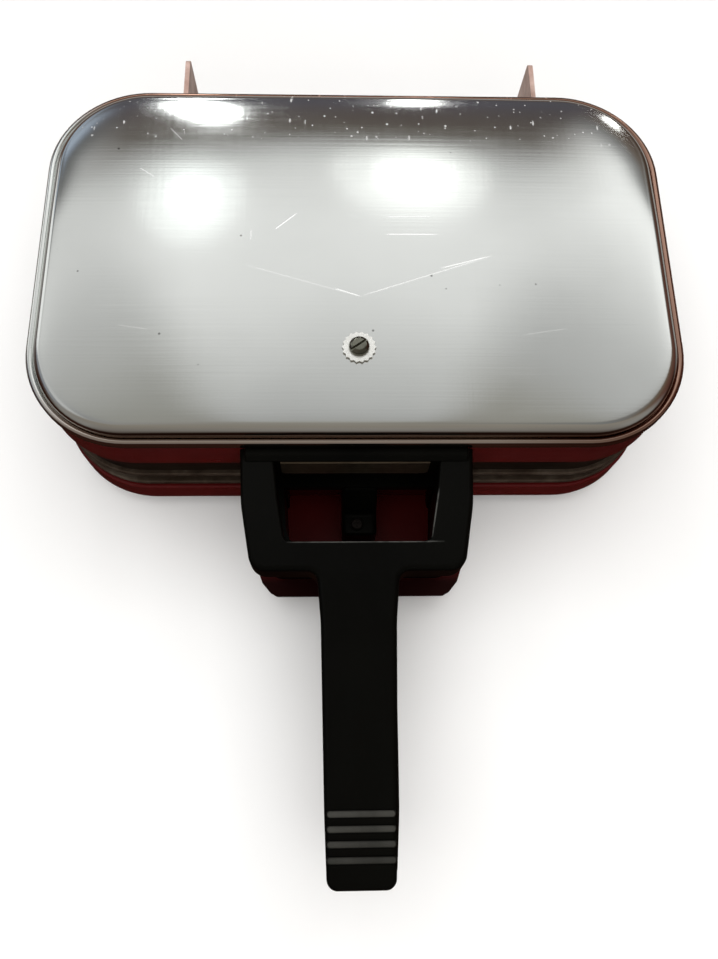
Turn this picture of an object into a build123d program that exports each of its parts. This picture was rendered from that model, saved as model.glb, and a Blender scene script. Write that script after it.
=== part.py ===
from build123d import *
import os
from math import acos, cos, pi, radians, sin, sqrt, tan

# Sandwich and waffle maker: two hinged halves, each with a cast plate, a tubular
# element, a steel pan, a red enamelled band and a black moulded handle.
# Millimetres. Inside this file the plan centre of the body is x = y = 0 and the
# bead line of the lid is z = 0; every piece is moved once, at the end, so that
# the origin is on the floor under the middle of the bounding box.

# ---------------------------------------------------------------- dimensions
BODY_L = 250.0        # lid bead, left to right
BODY_D = 159.6        # lid bead, front to back
BODY_R = 39.5         # plan corner radius of the bead
BEAD_W = 3.4          # width of the rolled bead
COVER_H = 6.8         # panel height above the bead line
COVER_T = 0.8         # sheet thickness of the lid
SHOULDER_R = 4.4      # rounding from panel to bead
DOME_R = 5200.0       # crown radius of the panel

FLOOR_BELOW = 76.0    # bead line above the floor
Y_SHIFT = 61.0        # body centre behind the origin

SHELL_L = 248.0       # outer plan of both enamelled bands
SHELL_D = 157.6
SHELL_R = 38.5
SHEET = 1.0           # band and pan sheet

UP_BAND_TOP = -0.8    # upper band
UP_BAND_BOT = -21.0
UP_PAN_TOP = -9.0     # pan carrying the upper plate
LIP_UP_TOP = -37.0    # lip of the upper plate
LIP_UP_BOT = -39.5
MATE_Z = -43.0        # middle of the gap between the plates
MATE_GAP = 0.4
LIP_LO_TOP = -46.5    # lip of the lower plate
LIP_LO_BOT = -49.0
LO_BAND_TOP = -50.5   # lower band
LO_BAND_BOT = -65.0

LIP_L, LIP_D, LIP_R = 246.0, 155.6, 37.5
PLATE_L, PLATE_D, PLATE_R = 236.0, 145.6, 32.5
UP_PLATE_BACK = -34.0
LO_PLATE_BACK = -52.0
POCKET_L, POCKET_D, POCKET_R = 105.0, 124.0, 12.0
POCKET_X = 57.5
POCKET_DEPTH = 5.0
STUD_NX, STUD_NY = 5, 6
STUD_H = 2.6
BOSS_X, BOSS_Y, BOSS_R = 80.0, 38.0, 4.0

ELEMENT_R = 3.25
ELEMENT_GAP = 0.15
EL_X, EL_Y, EL_OPEN, EL_END = 98.0, 50.0, 16.0, 64.0

HINGE_Y = 98.0        # hinge axis behind the body centre
HINGE_X = 2.7         # middle of the hinge pieces, right of the body centre
HINGE_Z = -40.0
FLOAT = 8.0           # vertical float of the hinge rod
ROD_R = 2.5
ROD_HOLE_R = 2.57
BRACKET_X = 72.0      # inner face of each bracket of the lower half
BRACKET_T = 2.0
BRACKET_END_R = 5.8   # round head of the bracket about its slot
LUG_X = 74.4          # inner face of each lug plate of the upper half
LUG_T = 2.0
LUG_TOP = -4.0
LUG_END_R = 9.0       # round lower end of the lug about the hinge axis
LUG_REAR = 103.7      # rear edge of the lug at its top
FOOT_RIVET_X = 66.0

HANDLE_TIP = -229.0
HANDLE_FRONT = -125.0  # front face of the upper bracket
HANDLE_TOP = -5.0
UP_HANDLE_X = -0.9     # the upper handle sits a little left, the lower a little right
LO_HANDLE_X = 1.0
LO_HANDLE_BOT = -61.8
HANDLE_SCREW_X = 36.0
UP_SCREW_Z = -14.6
LO_SCREW_Z = -57.5

SCREW_X, SCREW_Y = 0.0, -43.8   # lid screw
FOOT_X, FOOT_Y = 99.0, 54.0
INLET_Z = -58.0
PIN_PITCH = 19.0
B = LO_BAND_BOT       # underside of the lower band

WALL_Y = SHELL_D / 2            # outer face of both bands, 78.8


# ------------------------------------------------------------------- helpers
def slab(dx, dy, r, z0, z1):
    """Rounded rectangular block between two heights."""
    return Pos(0, 0, z0) * extrude(RectangleRounded(dx, dy, r), amount=z1 - z0)


def box(x0, x1, y0, y1, z0, z1):
    return Pos((x0 + x1) / 2, (y0 + y1) / 2, (z0 + z1) / 2) * Box(x1 - x0, y1 - y0, z1 - z0)


def rod_z(x, y, r, z0, z1):
    return Pos(x, y, (z0 + z1) / 2) * Cylinder(r, z1 - z0)


def rod_y(x, z, r, y0, y1):
    return Pos(x, (y0 + y1) / 2, z) * Rot(90, 0, 0) * Cylinder(r, y1 - y0)


def rod_x(y, z, r, x0, x1):
    return Pos((x0 + x1) / 2, y, z) * Rot(0, 90, 0) * Cylinder(r, x1 - x0)


def plan(points, z0, z1):
    """Prism from a closed outline in plan."""
    face = make_face(Polyline(*[(x, y, 0) for x, y in points], close=True))
    return Pos(0, 0, z0) * extrude(face, amount=z1 - z0)


def side(points, x0, x1):
    """Prism from a closed outline in the y-z plane, between two x values."""
    pl = Plane(origin=(x0, 0, 0), x_dir=(0, 1, 0), z_dir=(1, 0, 0))
    face = make_face(pl * Polyline(*[(y, z) for y, z in points], close=True))
    return extrude(face, amount=x1 - x0, dir=(1, 0, 0))


def smooth_face(points, radii):
    """Closed outline of straight runs and tangent arcs; a radius of 0 leaves a sharp corner."""
    n = len(points)
    ends = []
    for i, (p, r) in enumerate(zip(points, radii)):
        a, b, c = Vector(*points[i - 1], 0), Vector(*p, 0), Vector(*points[(i + 1) % n], 0)
        if r <= 0:
            ends.append((b, b, None))
            continue
        u, v = (a - b).normalized(), (c - b).normalized()
        half = acos(max(-1.0, min(1.0, u.dot(v)))) / 2
        reach = r / tan(half)
        mid = b + (u + v).normalized() * (r / sin(half) - r)
        ends.append((b + u * reach, b + v * reach, mid))
    runs = []
    for i in range(n):
        s, e, mid = ends[i]
        if mid is not None:
            runs.append(ThreePointArc(s, mid, e))
        nxt = ends[(i + 1) % n][0]
        if (nxt - e).length > 1e-6:
            runs.append(Line(e, nxt))
    return make_face(Wire([r.edge() if hasattr(r, "edge") else r for r in runs]))


def smooth_plan(points, radii, z0, z1):
    return Pos(0, 0, z0) * extrude(smooth_face(points, radii), amount=z1 - z0)


def smooth_side(points, radii, x0, x1):
    pl = Plane(origin=(x0, 0, 0), x_dir=(0, 1, 0), z_dir=(1, 0, 0))
    return extrude(pl * smooth_face(points, radii), amount=x1 - x0, dir=(1, 0, 0))


def both_sides(half, radii):
    """Whole outline and radii from the right-hand half, front to back."""
    return half + [(-x, y) for x, y in reversed(half)], radii + list(reversed(radii))


def rounded(part, select, radii):
    """Rounds the selected edges with the first radius that leaves one valid solid."""
    for r in radii:
        try:
            q = fillet(select(part), r)
        except Exception:
            continue
        if q.is_valid and len(q.solids()) == 1:
            return q
    print("left sharp")
    return part


def dome(top, below=40.0, reach=170.0):
    """Tall cylinder whose upper end is the crowned surface of the lid."""
    drop = DOME_R - sqrt(DOME_R ** 2 - reach ** 2)
    half = DOME_R - sqrt(DOME_R ** 2 - (reach / 2) ** 2)
    low = top - drop
    arc = ThreePointArc((0, 0, top), (reach / 2, 0, top - half), (reach, 0, low))
    rest = Polyline((reach, 0, low), (reach, 0, low - below), (0, 0, low - below), (0, 0, top))
    return revolve(make_face(Wire(arc.edges() + rest.edges())), Axis.Z)


def tube(points, radii, r):
    path = FilletPolyline(*points, radius=radii)
    prof = Plane(origin=path @ 0, z_dir=path % 0) * Circle(r)
    return sweep(prof, path=path)


def mirror_x(part):
    return mirror(part, about=Plane.YZ)


def edges_near_z(part, z, tol=0.05):
    return [e for e in part.edges()
            if abs(e.bounding_box().min.Z - z) < tol and abs(e.bounding_box().max.Z - z) < tol]


def top_edges(part):
    return part.faces().sort_by(Axis.Z)[-1].edges()


def bottom_edges(part):
    return part.faces().sort_by(Axis.Z)[0].edges()


def pan_head(x, y, z, r, h, up=True):
    """Round head with a domed crown and a cross slot; z is the seating face."""
    s = 1 if up else -1
    head = rod_z(x, y, r, min(z, z + s * h), max(z, z + s * h))
    rim = edges_near_z(head, z + s * h)
    head = fillet(rim, h * 0.55)
    z_top = z + s * h
    slot1 = Pos(x, y, z_top) * Box(r * 1.1, r * 0.28, h * 0.9)
    slot2 = Pos(x, y, z_top) * Box(r * 0.28, r * 1.1, h * 0.9)
    return head - slot1 - slot2


parts = {}

# ------------------------------------------------------------------ lid cover
bead = slab(BODY_L, BODY_D, BODY_R, -2.0, 2.2) \
    - slab(BODY_L - 2 * BEAD_W, BODY_D - 2 * BEAD_W, BODY_R - BEAD_W, -3.0, 3.0)
bead = fillet(top_edges(bead), 1.6)
crown = slab(BODY_L - 2 * BEAD_W, BODY_D - 2 * BEAD_W, BODY_R - BEAD_W, -2.0, COVER_H + 2.0)
crown = crown & dome(COVER_H + 1.2)
crown = fillet(top_edges(crown), SHOULDER_R)
inner_d = BEAD_W + COVER_T
cavity = slab(BODY_L - 2 * inner_d, BODY_D - 2 * inner_d, BODY_R - inner_d, -3.0, COVER_H + 2.0)
cavity = cavity & dome(COVER_H + 1.2 - COVER_T)
cavity = fillet(top_edges(cavity), SHOULDER_R - COVER_T)
lid = bead + crown
lid -= cavity
lid -= slab(BODY_L - 1.6, BODY_D - 1.6, BODY_R - 0.8, -3.0, -0.6)
lid -= rod_z(SCREW_X, SCREW_Y, 2.3, 0, 12)
parts["top_cover"] = lid
COVER_UNDER = COVER_H + 1.2 - COVER_T - (SCREW_Y ** 2) / (2 * DOME_R)
COVER_OVER = COVER_UNDER + COVER_T

# lid screw, its toothed washer and the threaded post that it pulls down on
post_hole_r = 1.95
post = rod_z(SCREW_X, SCREW_Y, 4.2, UP_PAN_TOP, COVER_UNDER - 0.03)
post -= rod_z(SCREW_X, SCREW_Y, post_hole_r, UP_PAN_TOP + 3, 12)
post += rod_z(SCREW_X, SCREW_Y, 6.5, UP_PAN_TOP, UP_PAN_TOP + 1.5)
parts["cover_post"] = post

TOOTH_N = 18
ring_pts = []
for i in range(TOOTH_N * 2):
    a = pi * i / TOOTH_N
    rad = 6.4 if i % 2 == 0 else 5.75
    ring_pts.append((SCREW_X + rad * cos(a), SCREW_Y + rad * sin(a)))
washer_z = COVER_OVER + 0.09
washer = plan(ring_pts, washer_z, washer_z + 0.7) - rod_z(SCREW_X, SCREW_Y, 2.2, 0, 14)
parts["cover_washer"] = washer

head_z = washer_z + 0.7
head = rod_z(SCREW_X, SCREW_Y, 3.85, head_z, head_z + 2.3)
head = fillet(edges_near_z(head, head_z + 2.3), 1.7)
head -= Pos(SCREW_X, SCREW_Y, head_z + 2.3) * Rot(0, 0, 35) * Box(9, 0.95, 2.0)
head += rod_z(SCREW_X, SCREW_Y, 1.9, COVER_UNDER - 9.0, head_z)
parts["cover_screw"] = head

# --------------------------------------------------------------- upper band
band = slab(SHELL_L, SHELL_D, SHELL_R, UP_BAND_BOT, UP_BAND_TOP)
band = fillet(bottom_edges(band), 0.9)
band -= slab(SHELL_L - 2 * SHEET, SHELL_D - 2 * SHEET, SHELL_R - SHEET, UP_BAND_BOT + SHEET, UP_BAND_TOP - SHEET)
band -= slab(242.4, 152.0, 35.7, UP_BAND_BOT - 1, UP_BAND_BOT + SHEET + 0.5)
band -= slab(230.0, 139.6, 29.5, UP_BAND_TOP - SHEET - 0.5, UP_BAND_TOP + 1)
for sx in (-1, 1):
    band -= rod_y(sx * HANDLE_SCREW_X, UP_SCREW_Z, 2.6, -85, -70)
    band -= rod_y(HINGE_X + sx * FOOT_RIVET_X, -8.0, 1.55, 70, 85)
    band -= rod_y(HINGE_X + sx * FOOT_RIVET_X, -15.5, 1.55, 70, 85)
band -= rod_y(-40.0, -14.0, 4.05, 70, 85)
parts["upper_band"] = band

# ---------------------------------------------------------------- upper pan
pan = slab(242.0, 151.6, 35.5, LIP_UP_TOP, UP_PAN_TOP)
pan = fillet(top_edges(pan), 3.0)
pan -= slab(240.0, 149.6, 34.5, LIP_UP_TOP - 1, UP_PAN_TOP - SHEET)
pan += slab(245.6, 155.2, 37.3, UP_BAND_BOT + SHEET, UP_BAND_BOT + SHEET + 0.8) \
    - slab(241.0, 150.6, 35.0, UP_BAND_BOT, UP_BAND_BOT + 3)
for sx in (-1, 1):
    for sy in (-1, 1):
        pan -= rod_z(sx * BOSS_X, sy * BOSS_Y, 2.1, -12, -6)
    pan -= rod_y(sx * HANDLE_SCREW_X, UP_SCREW_Z, 2.6, -80, -70)
pan -= rod_y(-40.0, -14.0, 6.2, 70, 80)
parts["upper_pan"] = pan


# -------------------------------------------------------------- cast plates
def grid_plate(lip_out, lip_in, ledge, face_z, back_z, boss_end, sgn):
    """Cast plate; sgn = +1 when the cooking face looks up."""
    def zs(a, b):
        return (min(a, b), max(a, b))
    lip = slab(LIP_L, LIP_D, LIP_R, *zs(lip_out, lip_in))
    lip = fillet(lip.edges().filter_by(lambda e: abs(e.center().Z - lip_out) < 0.01
                                       or abs(e.center().Z - lip_in) < 0.01), 0.8)
    part = lip
    part += slab(238.0, 147.6, 33.5, *zs(lip_in, face_z))
    part += slab(PLATE_L, PLATE_D, PLATE_R, *zs(lip_out, back_z))
    part += slab(241.0 - 3.2, 150.6 - 3.2, 33.4, *zs(lip_out, ledge))
    for sx in (-1, 1):
        pocket = extrude(RectangleRounded(POCKET_L, POCKET_D, POCKET_R), amount=-POCKET_DEPTH * sgn, taper=10)
        part -= Pos(sx * POCKET_X, 0, face_z) * pocket
    floor_z = face_z - sgn * POCKET_DEPTH
    px, py = POCKET_L / STUD_NX, POCKET_D / STUD_NY
    studs = []
    for sx in (-1, 1):
        for i in range(STUD_NX):
            for j in range(STUD_NY):
                stud = extrude(Rectangle(13.0, 12.8), amount=STUD_H * sgn, taper=24)
                studs.append(Pos(sx * POCKET_X + (i - (STUD_NX - 1) / 2) * (px - 0.6),
                                 (j - (STUD_NY - 1) / 2) * (py - 0.4), floor_z) * stud)
    part += studs
    for sx in (-1, 1):
        for sy in (-1, 1):
            b = rod_z(sx * BOSS_X, sy * BOSS_Y, BOSS_R, *zs(back_z, boss_end))
            b -= rod_z(sx * BOSS_X, sy * BOSS_Y, 1.95, *zs(boss_end - sgn * 1.0, boss_end + sgn * 8.0))
            part += b
    return part


parts["upper_grid_plate"] = grid_plate(LIP_UP_TOP, LIP_UP_BOT, LIP_UP_TOP + 1.5, MATE_Z + MATE_GAP / 2,
                                       UP_PLATE_BACK, -19.5, -1)
parts["lower_grid_plate"] = grid_plate(LIP_LO_BOT, LIP_LO_TOP, LO_BAND_TOP, MATE_Z - MATE_GAP / 2,
                                       LO_PLATE_BACK, B + 1.8, 1)


# ---------------------------------------------------------- heating elements
def element(z):
    pts = [(-EL_OPEN, EL_END, z), (-EL_OPEN, EL_Y, z), (-EL_X, EL_Y, z), (-EL_X, -EL_Y, z),
           (EL_X, -EL_Y, z), (EL_X, EL_Y, z), (EL_OPEN, EL_Y, z), (EL_OPEN, EL_END, z)]
    body = tube(pts, [10, 22, 22, 22, 22, 10], ELEMENT_R)
    for sx in (-1, 1):
        body += rod_y(sx * EL_OPEN, z, 1.2, EL_END, EL_END + 7.0)
    return body


def element_beads(z):
    out = []
    for sx in (-1, 1):
        b = rod_y(sx * EL_OPEN, z, 3.0, EL_END + 0.05, EL_END + 3.0) - rod_y(sx * EL_OPEN, z, 1.25, EL_END - 1, EL_END + 5)
        out.append(b)
    return Compound(children=out)


def saddles(z_el, z_back, sgn):
    """Pressed straps that hold the element against the back of a plate."""
    out = []
    r_in = ELEMENT_R + 0.1
    r_out = r_in + 0.8
    for (x, y) in ((-45, -EL_Y), (45, -EL_Y), (-50, EL_Y), (50, EL_Y)):
        s = Pos(x, y, z_el) * Rot(0, 90, 0) * (Cylinder(r_out, 8.0) - Cylinder(r_in, 9.0))
        lo, hi = (z_back, z_el) if z_back < z_el else (z_el, z_back)
        # keep only the half of the ring that lies beyond the element's centre
        if sgn > 0:
            s = s & box(x - 5, x + 5, y - 6, y + 6, z_el, z_el + 6)
        else:
            s = s & box(x - 5, x + 5, y - 6, y + 6, z_el - 6, z_el)
        for sy in (-1, 1):
            y0, y1 = sorted((y + sy * r_in, y + sy * r_out))
            s += box(x - 4, x + 4, y0, y1, lo, hi)
            f0, f1 = sorted((y + sy * r_out, y + sy * (r_out + 6)))
            t0, t1 = sorted((z_back, z_back + sgn * 0.8))
            foot = box(x - 4, x + 4, f0, f1, t0, t1) - rod_z(x, y + sy * (r_out + 3), 1.3, z_back - 3, z_back + 3)
            s += foot
        out.append(s)
    return Compound(children=out)


Z_EL_UP = UP_PLATE_BACK + ELEMENT_R + ELEMENT_GAP
Z_EL_LO = LO_PLATE_BACK - ELEMENT_R - ELEMENT_GAP
parts["upper_element"] = element(Z_EL_UP)
parts["lower_element"] = element(Z_EL_LO)
parts["upper_element_beads"] = element_beads(Z_EL_UP)
parts["lower_element_beads"] = element_beads(Z_EL_LO)
parts["upper_element_saddles"] = saddles(Z_EL_UP, UP_PLATE_BACK, 1)
parts["lower_element_saddles"] = saddles(Z_EL_LO, LO_PLATE_BACK, -1)

# ------------------------------------------- reflectors, spacers and screws
refl = slab(216.0, 122.0, 20.0, -19.5, -18.9) - slab(0.01 + 40, 30, 4, -25, -10).locate(Location((0, 66, 0)))
for sx in (-1, 1):
    for sy in (-1, 1):
        refl -= rod_z(sx * BOSS_X, sy * BOSS_Y, 2.1, -22, -16)
parts["upper_reflector"] = refl

spacers, up_screws = [], []
for sx in (-1, 1):
    for sy in (-1, 1):
        x, y = sx * BOSS_X, sy * BOSS_Y
        spacers.append(rod_z(x, y, 4.0, -18.9, UP_PAN_TOP - SHEET) - rod_z(x, y, 2.1, -25, -5))
        scr = pan_head(x, y, UP_PAN_TOP, 3.9, 2.6)
        scr += rod_z(x, y, 1.9, -26.0, UP_PAN_TOP)
        up_screws.append(scr)
parts["upper_spacers"] = Compound(children=spacers)
parts["upper_plate_screws"] = Compound(children=up_screws)

tray = slab(238.0, 147.6, 33.5, LO_BAND_BOT + SHEET, B + 9.0)
tray -= slab(236.4, 146.0, 32.7, LO_BAND_BOT + SHEET + 0.8, B + 10.0)
for sx in (-1, 1):
    for sy in (-1, 1):
        tray -= rod_z(sx * BOSS_X, sy * BOSS_Y, 2.1, B - 1, B + 4)
        tray -= rod_z(sx * FOOT_X, sy * FOOT_Y, 3.2, B - 1, B + 4)
tray -= box(-24, 24, 60, 80, B + 1.8, B + 11)
parts["lower_reflector"] = tray

# --------------------------------------------------------------- lower band
low = slab(SHELL_L, SHELL_D, SHELL_R, LO_BAND_BOT, LO_BAND_TOP)
low = fillet(bottom_edges(low), 3.0)
low = fillet(top_edges(low), 0.9)
low -= slab(SHELL_L - 2 * SHEET, SHELL_D - 2 * SHEET, SHELL_R - SHEET, LO_BAND_BOT + SHEET, LO_BAND_TOP - SHEET)
low -= slab(238.4, 148.0, 33.7, LO_BAND_TOP - SHEET - 0.5, LO_BAND_TOP + 1)
low -= slab(216.0, 126.0, 24.0, LO_BAND_BOT - 1, LO_BAND_BOT + SHEET + 0.5)
for sx in (-1, 1):
    low -= rod_y(sx * HANDLE_SCREW_X, LO_SCREW_Z, 2.6, -85, -70)
    low -= rod_y(HINGE_X + sx * FOOT_RIVET_X, B + 10.5, 1.55, 70, 85)
    low -= rod_y(HINGE_X + sx * FOOT_RIVET_X, B + 5.0, 1.55, 70, 85)
    for sy in (-1, 1):
        low -= rod_z(sx * FOOT_X, sy * FOOT_Y, 2.3, B - 3, B + 3)
low -= box(-15.0, 15.0, 70, 85, INLET_Z - 4.6, INLET_Z + 4.6)
low -= rod_y(-40.0, B + 7.0, 4.05, 70, 85)
parts["lower_band"] = low

# -------------------------------------------------------------- base cover
base = slab(232.0, 141.6, 30.5, B - 1.0, B)
bulge = slab(178.0, 92.0, 20.0, B - 5.0, B - 0.5)
bulge = fillet(bottom_edges(bulge), 2.0)
base += bulge
base -= slab(176.0, 90.0, 19.0, B - 4.2, B + 1.0)
for sx in (-1, 1):
    for sy in (-1, 1):
        base -= rod_z(sx * BOSS_X, sy * BOSS_Y, 2.1, B - 7, B - 1)
        base -= rod_z(sx * FOOT_X, sy * FOOT_Y, 2.3, B - 3, B + 1)
for i in range(7):
    y = (i - 3) * 9.0
    base -= Pos(0, y, B - 4.6) * extrude(SlotOverall(60, 3.0), amount=4, both=True)
parts["base_cover"] = base

base_screws = []
for sx in (-1, 1):
    for sy in (-1, 1):
        x, y = sx * BOSS_X, sy * BOSS_Y
        s = pan_head(x, y, B - 5.0, 3.8, 2.4, up=False)
        s += rod_z(x, y, 1.9, B - 5.0, B + 8.5)
        base_screws.append(s)
parts["base_screws"] = Compound(children=base_screws)

feet = []
for sx in (-1, 1):
    for sy in (-1, 1):
        x, y = sx * FOOT_X, sy * FOOT_Y
        f = Pos(x, y, B - 6.0) * Cone(8.0, 9.2, 10.0)
        f = fillet(edges_near_z(f, B - 11.0), 1.2)
        f -= rod_z(x, y, 4.4, B - 13.0, B - 7.0)
        f -= rod_z(x, y, 2.0, B - 8.0, B)
        feet.append(f)
parts["feet"] = Compound(children=feet)


# ------------------------------------------------------------------ handles
def off_wall(e):
    return abs(e.center().Y + WALL_Y) > 0.3


# upper handle: raised rear bar, two arms round a window, ribbed stem
pts, rad = both_sides([(43.6, -WALL_Y - 0.02), (42.6, -100.0), (38.4, HANDLE_FRONT), (14.9, HANDLE_FRONT),
                       (13.4, -143.0), (12.2, -206.0), (11.3, HANDLE_TIP)],
                      [0, 40, 6.5, 4.0, 60, 80, 3.6])
uh = smooth_plan(pts, rad, -30, 2)
uh = uh & smooth_side([(-WALL_Y - 0.02, HANDLE_TOP), (-128, HANDLE_TOP), (-232, -9.8), (-232, -22.8), (-190, -22.8),
                       (-132, -17.4), (-100, -17.4), (-WALL_Y - 0.02, -19.6)],
                      [0, 150, 0, 0, 150, 100, 100, 0], -60, 60)
uh = rounded(uh, lambda s: [e for e in s.edges() if e.bounding_box().min.Z > -10.2 and off_wall(e)], [2.0, 1.6, 1.2])
uh = rounded(uh, lambda s: [e for e in s.edges() if e.bounding_box().max.Z < -17 and off_wall(e)], [1.6, 1.2, 0.8])
pts, rad = both_sides([(30.8, -84.0), (29.2, -98.0), (26.4, -114.3)], [0, 40, 3.0])
uh -= smooth_plan(pts, rad, -30, 4)
uh = rounded(uh, lambda s: [e for e in s.edges() if abs(e.bounding_box().min.Z - HANDLE_TOP) < 0.02
                            and abs(e.bounding_box().max.Z - HANDLE_TOP) < 0.02
                            and abs(e.center().X) < 30 and -114.6 < e.center().Y < -84.5], [1.0, 0.7])
ridge = smooth_side([(-WALL_Y - 0.02, -7.0), (-WALL_Y - 0.02, -2.6), (-82.2, -2.6), (-84.0, -4.6), (-84.0, -7.0)],
                    [0, 1.0, 1.6, 0, 0], -41.6, 41.6)
ridge = rounded(ridge, lambda s: [e for e in s.edges() if abs(abs(e.center().X) - 41.6) < 0.01
                                  and e.center().Z > -4.7 and off_wall(e)], [1.2, 0.8])
uh += ridge
for yy, zz in ((-205.7, -8.72), (-210.3, -8.93), (-214.9, -9.15), (-219.7, -9.37)):
    uh += Pos(0, yy, zz - 0.25) * Rot(0, 90, 0) * Cylinder(1.4, 20.4)
    uh += Pos(-10.2, yy, zz - 0.25) * Sphere(1.4)
    uh += Pos(10.2, yy, zz - 0.25) * Sphere(1.4)
uh = Pos(UP_HANDLE_X, 0, 0) * uh
for sx in (-1, 1):
    uh -= rod_y(sx * HANDLE_SCREW_X, UP_SCREW_Z, 2.45, -94, -70)
parts["upper_handle"] = uh

# bare metal strip on the window's rear face
strip = side([(-84.02, -5.4), (-84.02, -16.6), (-84.6, -16.6), (-84.6, -5.4)], UP_HANDLE_X - 28.4, UP_HANDLE_X + 27.2)
strip = chamfer([e for e in strip.edges().filter_by(Axis.Y) if e.center().Z < -10], 1.4)
parts["name_strip"] = strip

# lower handle: fork with a thin rear bar, a sloping centre tongue and a stem
pts, rad = both_sides([(42.0, -WALL_Y - 0.02), (41.0, -102.0), (35.4, -116.0), (14.2, -116.0),
                       (13.0, -134.0), (12.2, -206.0), (10.9, HANDLE_TIP + 1.6)],
                      [0, 30, 5.0, 4.0, 60, 80, 3.4])
lh = smooth_plan(pts, rad, -66, -28)
lh = lh & smooth_side([(-WALL_Y - 0.02, -33.0), (-120, -33.0), (-190, -28.6), (-232, -28.6), (-232, -42.8),
                       (-180, -45.0), (-118, LO_HANDLE_BOT), (-WALL_Y - 0.02, LO_HANDLE_BOT)],
                      [0, 150, 150, 0, 0, 150, 30, 0], -60, 60)
lh = rounded(lh, lambda s: [e for e in s.edges() if e.bounding_box().min.Z > -33.2 and off_wall(e)], [1.6, 1.2, 0.8])
lh = rounded(lh, lambda s: [e for e in s.edges() if e.bounding_box().max.Z < -42
                            and e.bounding_box().max.Y < -117.9], [1.6, 1.2, 0.8])
pts, rad = both_sides([(30.4, -84.7), (29.4, -102.0), (27.6, -107.5)], [0, 0, 3.0])
lh -= smooth_plan(pts, rad, -66, -28)
lh -= box(-29.5, 29.5, -84.75, -WALL_Y + 1, -63.0, -36.6)
tongue = smooth_side([(-WALL_Y - 0.02, -33.6), (-85.0, -34.4), (-92.0, -47.1), (-100.6, -47.1), (-100.6, LO_HANDLE_BOT),
                      (-WALL_Y - 0.02, LO_HANDLE_BOT)], [0, 2.0, 2.0, 1.2, 0, 0], -7.2, 7.2)
tongue = rounded(tongue, lambda s: [e for e in s.edges().filter_by(Axis.Z) if e.center().Y < -99], [2.4, 1.5])
lh += tongue
lh = Pos(LO_HANDLE_X, 0, 0) * lh
for sx in (-1, 1):
    lh -= rod_y(sx * HANDLE_SCREW_X, LO_SCREW_Z, 2.45, -94, -70)
lh -= rod_z(0, -96.3, 1.95, -66, -40)
parts["lower_handle"] = lh

# enamelled heat shield under the lower handle
sh_half = [(42.6, -WALL_Y - 0.02), (42.6, -112.6), (41.0, -117.2), (37.4, -121.6), (34.6, -123.2)]
shield = plan(sh_half + [(-x, y) for x, y in reversed(sh_half)], LO_HANDLE_BOT - 1.0, LO_HANDLE_BOT)
shield = Pos(1.4, 0, 0) * shield
shield = fillet([e for e in shield.edges().filter_by(Axis.Z) if e.center().Y < -112], 2.0)
shield -= rod_z(0, -96.3, 2.1, -66, -56)
parts["handle_shield"] = shield

scr = pan_head(0, -96.3, -47.1, 2.6, 1.7)
scr += rod_z(0, -96.3, 1.9, -66.2, -47.1)
parts["shield_screw"] = scr
nut = Pos(0, -96.3, LO_HANDLE_BOT - 3.6) * extrude(RegularPolygon(3.6, 6), amount=2.6)
nut -= rod_z(0, -96.3, 1.95, -68, -60)
parts["shield_nut"] = nut

up_hs, lo_hs = [], []
for sx in (-1, 1):
    s = rod_y(sx * HANDLE_SCREW_X, UP_SCREW_Z, 4.1, -74.8, -71.9)
    s = fillet([e for e in s.edges() if abs(e.center().Y + 71.9) < 0.05], 1.2)
    s += rod_y(sx * HANDLE_SCREW_X, UP_SCREW_Z, 2.4, -92.0, -74.8)
    up_hs.append(s)
    s = rod_y(sx * HANDLE_SCREW_X, LO_SCREW_Z, 4.2, -77.8, -75.0)
    s = fillet([e for e in s.edges() if abs(e.center().Y + 75.0) < 0.05], 1.2)
    s += rod_y(sx * HANDLE_SCREW_X, LO_SCREW_Z, 2.4, -92.0, -77.8)
    lo_hs.append(s)
parts["upper_handle_screws"] = Compound(children=up_hs)
parts["lower_handle_screws"] = Compound(children=lo_hs)

# ------------------------------------------------------------- hinge pieces
def group(part, sign):
    """Right-hand piece as drawn, or its mirror image, moved with the hinge's middle."""
    return Pos(HINGE_X, 0, 0) * (part if sign > 0 else mirror_x(part))


def arc(cy, cz, r, a0, a1, n=14):
    return [(cy + r * cos(radians(a0 + (a1 - a0) * k / n)), cz + r * sin(radians(a0 + (a1 - a0) * k / n)))
            for k in range(n + 1)]


# bracket of the lower half: a steel plate with a vertical slot for the hinge rod
# and a foot riveted to the lower band
SLOT_TOP = HINGE_Z + FLOAT
br_pts = [(WALL_Y + 0.02, B + 1.5), (WALL_Y + 0.02, B + 13.0)] \
    + arc(HINGE_Y, SLOT_TOP, BRACKET_END_R, 180, 0) \
    + [(HINGE_Y + BRACKET_END_R, B + 8.0), (HINGE_Y + 2.0, B + 1.5)]


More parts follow.
